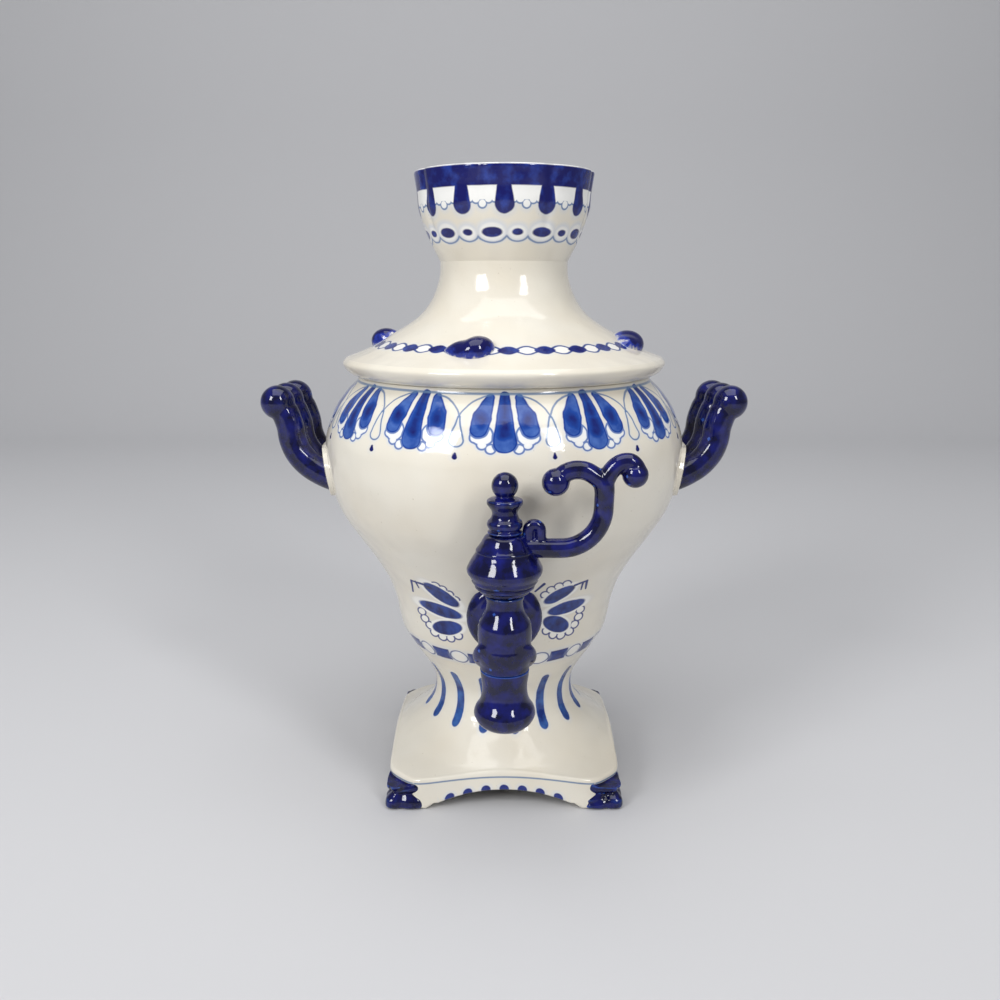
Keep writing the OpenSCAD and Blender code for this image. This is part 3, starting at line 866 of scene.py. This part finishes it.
def lid():
    """The flange's rounded edge, the flared shoulder and neck, and the hollow inside."""
    outer = smooth([(RIM_R + 0.9, lid_z), (flange_r - 1.9, 180.3), (flange_r, 183.4),
                    (flange_r - 1.3, 185.5)])
    inner = moved(neck_curve, -WALL)
    inner = inner[(inner[:, 1] > rim_z + 6.2) & (inner[:, 1] < crown_z - 2)][::-1]
    return turned(np.vstack([
        [(MOUTH_R - 4.2, lid_z)], outer[:-1], neck_curve,
        [(NECK_R - WALL, crown_z)], inner, [(MOUTH_R - 4.2, rim_z + 2.4)]]), 300)


def crown():
    """A flared bowl whose wall is pulled in a little along eight upright flutes."""
    outline = np.vstack([
        [(8, crown_z)], crown_curve, arc(crown_r - 1, lip_z - 1, 1, 0, 90, 6),
        arc(crown_r - 2.4, lip_z - 1, 1, 90, 180, 6),
        smooth([(crown_r - 4.4, 246), (crown_r - 4.8, 243.6), (30, 238.6), (28.8, 237.2),
                (27.6, 236.6)], 4), [(6, 236.6)]])
    grid = turned(outline, 288)
    turn = np.arctan2(grid[..., 0], -grid[..., 1])
    z = grid[..., 2]
    near = (turn - BOSS_TURN + math.pi / 8) % (math.pi / 4) - math.pi / 8
    flute = np.exp(-((near / 0.055) ** 2)) * np.clip((z - 229) / 10, 0, 1)
    grid[..., :2] *= (1 - 0.016 * flute)[..., None]
    return grid


def boss(quarter):
    """A leaf-shaped lump: an ellipsoid that grows toward its right end, leans out and
    is bent to follow the lid."""
    q = np.radians(np.linspace(-86, 86, 30))[:, None]
    t = np.linspace(0, 2 * math.pi, 60, endpoint=False)[None, :]
    run = np.cos(q) * np.cos(t)
    out = np.cos(q) * np.sin(t)
    up = np.sin(q) + 0 * t
    size = 0.74 + 0.26 * run
    along = 10.2 * run + 0.2
    across = 9.4 * out * size
    rise = 7.6 * up * size
    dent = 0.7 * np.exp(-(((along + 0.5) / 2.6) ** 2)) * np.clip(up, 0, 1)
    z = 190.6 + 0.8 * run + rise - dent - 0.12 * across
    reach = 51.6 + across + 1.6 * up
    reach += -(along ** 2) / 110
    surface = np.interp(-reach, -neck_curve[:, 0], neck_curve[:, 1])
    z = np.maximum(z, surface - 1.6)
    angle = BOSS_TURN + quarter * math.pi / 2
    x = reach * math.sin(angle) + along * math.cos(angle)
    y = -reach * math.cos(angle) + along * math.sin(angle)
    return np.stack([x, y, z], -1)


def key_bulb():
    """The turned bulb: steps up to a wide belt, then a cone with a waist."""
    outline = np.vstack([
        [(4.7, key_z)], smooth([
            (6.6, key_z), (7.9, 108.9), (8.8, 109.5), (9.2, 110.3), (9.7, 110.7),
            (10.5, 111.1), (10.7, 111.9), (10.6, 112.5), (11.3, 112.9), (11.8, 113.6),
            (12.0, 114.6), (12.7, 115.6), (bulb_r - 0.15, 116.7), (bulb_r, 118),
            (bulb_r - 0.5, 119.3), (11.8, 121.5), (10.7, 123.2), (10.3, 124.2),
            (10.2, 124.9), (9.5, 125.8), (8.4, 127.4), (7.6, 128.9), (7.0, 129.7),
            (6.2, 130.2)], 4), [(3, 130.2)]])
    return turned(outline, 120) + np.array([0, -key_y, 0])


def key_finial():
    """Turned rings under a ball."""
    outline = np.vstack([[(3, 130.2)], smooth([
        (5.2, 130.2), (5.8, 130.6), (6.1, 131.3), (5.5, 131.9), (5.4, 132.3), (6.0, 132.9),
        (6.3, 134), (6.0, 135.1), (5.1, 136.0), (4.7, 136.9), (4.5, 138.0), (4.9, 139.2),
        (5.9, 140.6), (6.35, 141.5), (6.2, 142.6), (5.2, 143.2), (3.9, 143.5), (3.3, 143.9),
        (3.2, 144.2)], 4), arc(0, 147.7, 4.7, -44, 84, 16)])
    return turned(outline, 96) + np.array([0, -key_y, 0])


def lever():
    """The key's lever, all in the plane through the key's axis: a C that forks into
    two arms with ball ends, and a small curl by the bulb."""
    q = np.radians(np.linspace(-90, 0, 16))
    bar = [(8, 125.2), (11, 125.2), (15, 125.2), (18, 125.2)]
    bend = np.stack([19.8 + 14.6 * np.cos(q), 139.8 + 14.6 * np.sin(q)], 1)
    stem = np.vstack([bar, bend, [(34.5, 143), (34.6, 146), (34.4, 148.6)]])
    left = smooth([(34.4, 145), (33.6, 148.6), (31.2, 151), (27.6, 152.9), (23.6, 153.1),
                   (20.4, 151.8), (18.2, 149.6)], 6)
    right = smooth([(34.4, 145), (34.8, 149.0), (36.8, 153.0), (40.0, 155.6), (43.2, 155.9),
                    (45.2, 154.0), (45.6, 152.2)], 6)
    curl = np.vstack([[(12.5, 125.6)], arc(10.3, 131.6, 2.1, 0, 180, 16), [(8.1, 127.4)]])

    def upright(path, radius):
        path = np.asarray(path, float)
        path = np.stack([path[:, 0], 0 * path[:, 0] - key_y, path[:, 1]], 1)
        return rod(path, radius, (0, -1, 0))

    return [
        upright(stem, 3.5), upright(left, 3.3), upright(right, 3.2), upright(curl, 2.1),
        ball((17.6, -key_y, 148.9), 4.9), ball((45.0, -key_y, 151.5), 4.6),
        ball((12.5, -key_y, 125.8), 3.1),
    ]


def show(piece, body, record_slot, glaze, *nodes):
    """Gives a piece its glaze and its body, and hides the CAD nodes that it stands for."""
    piece.data.materials.append(glaze)
    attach(piece, body)
    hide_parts(*nodes)


painted, solid = "painted_porcelain", "cobalt_porcelain"
plain, cobalt, worn = plain_glaze(), cobalt_glaze(), boss_glaze()

show(mark_outside(meshed("vessel", *skin(vessel())), body_curve), "vessel", painted,
     vessel_glaze(), "body_shell")
show(meshed("foot_stem", *skin(pedestal(), True)), "vessel", painted, pedestal_glaze(),
     "pedestal")
show(meshed("plinth_block", *skin(plinth(), True)), "vessel", painted, plinth_glaze(),
     "plinth")
for x, across in ((-1, "left"), (1, "right")):
    for y, depth in ((-1, "front"), (1, "back")):
        name = f"{depth}_{across}"
        show(meshed("claw_" + name, *skin(foot(x, y))), "vessel", solid, cobalt,
             "foot_" + name)
    show(fused("ribs_" + across, handle(x), 0.5, 7, clear_of_vessel), "vessel", solid,
         cobalt, "handle_" + across)
show(meshed("rosette", *skin(rosette())), "vessel", solid, cobalt, "tap_rosette")
show(fused("tap_body", barrel(), 0.4, 9, clear_of_vessel), "vessel", solid, cobalt,
     "tap_barrel")
show(meshed("spout", *skin(spout())), "vessel", solid, cobalt, "tap_spout")

show(mark_outside(meshed("lid_dome", *skin(lid(), True)), neck_curve), "lid", painted,
     lid_glaze(), "lid_shell")
show(meshed("lid_crown", *skin(crown())), "lid", painted, crown_glaze(), "crown")
for quarter, side in enumerate(("front", "right", "back", "left")):
    show(meshed("leaf_" + side, *skin(boss(quarter))), "lid", solid, worn, "boss_" + side)

show(meshed("key_head", *skin(key_bulb())), "key", solid, cobalt, "key_bulb")
show(meshed("key_top", *skin(key_finial())), "key", solid, cobalt, "key_finial")
show(fused("key_arm", lever(), 0.32, 8), "key", solid, cobalt, "key_lever")

for name, glaze in (("handle_pad_left", plain), ("handle_pad_right", plain),
                    ("lid_ring", plain), ("key_plug", cobalt)):
    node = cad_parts[name]
    node.data.materials.clear()
    node.data.materials.append(glaze)


# ---------------------------------------------------------------- studio
def studio():
    """A pale sweep, in metres: the floor runs back and curves up into the wall."""
    front, back, bend, top, half_width = -1.6, 0.9, 0.5, 2.4, 2.2
    q = np.radians(np.linspace(0, 90, 24))
    sweep = np.vstack([
        [(front, 0.0), (back, 0.0)],
        np.stack([back + bend * np.sin(q), bend - bend * np.cos(q)], 1),
        [(back + bend, top)]])
    x = np.linspace(-half_width, half_width, 12)
    grid = np.stack(np.broadcast_arrays(x[None, :], sweep[:, :1], sweep[:, 1:]), -1)
    rows, columns = grid.shape[:2]
    i, j = np.arange(rows - 1)[:, None], np.arange(columns - 1)[None, :]
    faces = np.stack([i * columns + j, i * columns + j + 1, (i + 1) * columns + j + 1,
                      (i + 1) * columns + j], -1).reshape(-1, 4).tolist()
    backdrop = meshed("studio_sweep", grid.reshape(-1, 3) / MM, faces)
    material = bpy.data.materials.new("matt studio paper")
    material.use_nodes = True
    shader = material.node_tree.nodes["Principled BSDF"]
    shader.inputs["Base Color"].default_value = linear("#C9C9CB")
    shader.inputs["Roughness"].default_value = 0.75
    backdrop.data.materials.append(material)


def softbox(name, azimuth, elevation, distance, width, height, power, tint="#FFFFFF"):
    """A soft light at that bearing from the object, facing it. Azimuth 0 is in front
    and grows to the right."""
    a, e = math.radians(azimuth), math.radians(elevation)
    data = bpy.data.lights.new(name, "AREA")
    data.shape = "RECTANGLE"
    data.size, data.size_y = width, height
    data.energy = power
    data.color = linear(tint)[:3]
    lamp = bpy.data.objects.new(name, data)
    lamp.location = (distance * math.sin(a) * math.cos(e),
                     AXIS[1] * MM - distance * math.cos(a) * math.cos(e),
                     0.13 + distance * math.sin(e))
    lamp.rotation_euler = (math.pi / 2 - e, 0, a)
    bpy.context.scene.collection.objects.link(lamp)


studio()
softbox("window_left", -42, 30, 1.5, 0.42, 0.6, 12)
softbox("window_right", 34, 34, 1.5, 0.2, 0.6, 7)
softbox("overhead", 0, 82, 1.6, 1.6, 1.6, 16)

world = bpy.data.worlds.new("studio")
bpy.context.scene.world = world
world.use_nodes = True
background = world.node_tree.nodes["Background"]
background.inputs[0].default_value = linear("#BDBFC4")
background.inputs[1].default_value = 0.42

camera = bpy.data.objects.new("camera", bpy.data.cameras.new("camera"))
camera.data.sensor_width = 36
camera.data.lens = 34.2
camera.data.clip_start = 0.02
camera.location = (-0.0017, AXIS[1] * MM - 0.4095, 0.2165)
camera.rotation_euler = (math.radians(77.05), 0, 0)
bpy.context.scene.collection.objects.link(camera)
bpy.context.scene.camera = camera
bpy.context.scene.view_settings.view_transform = "Standard"
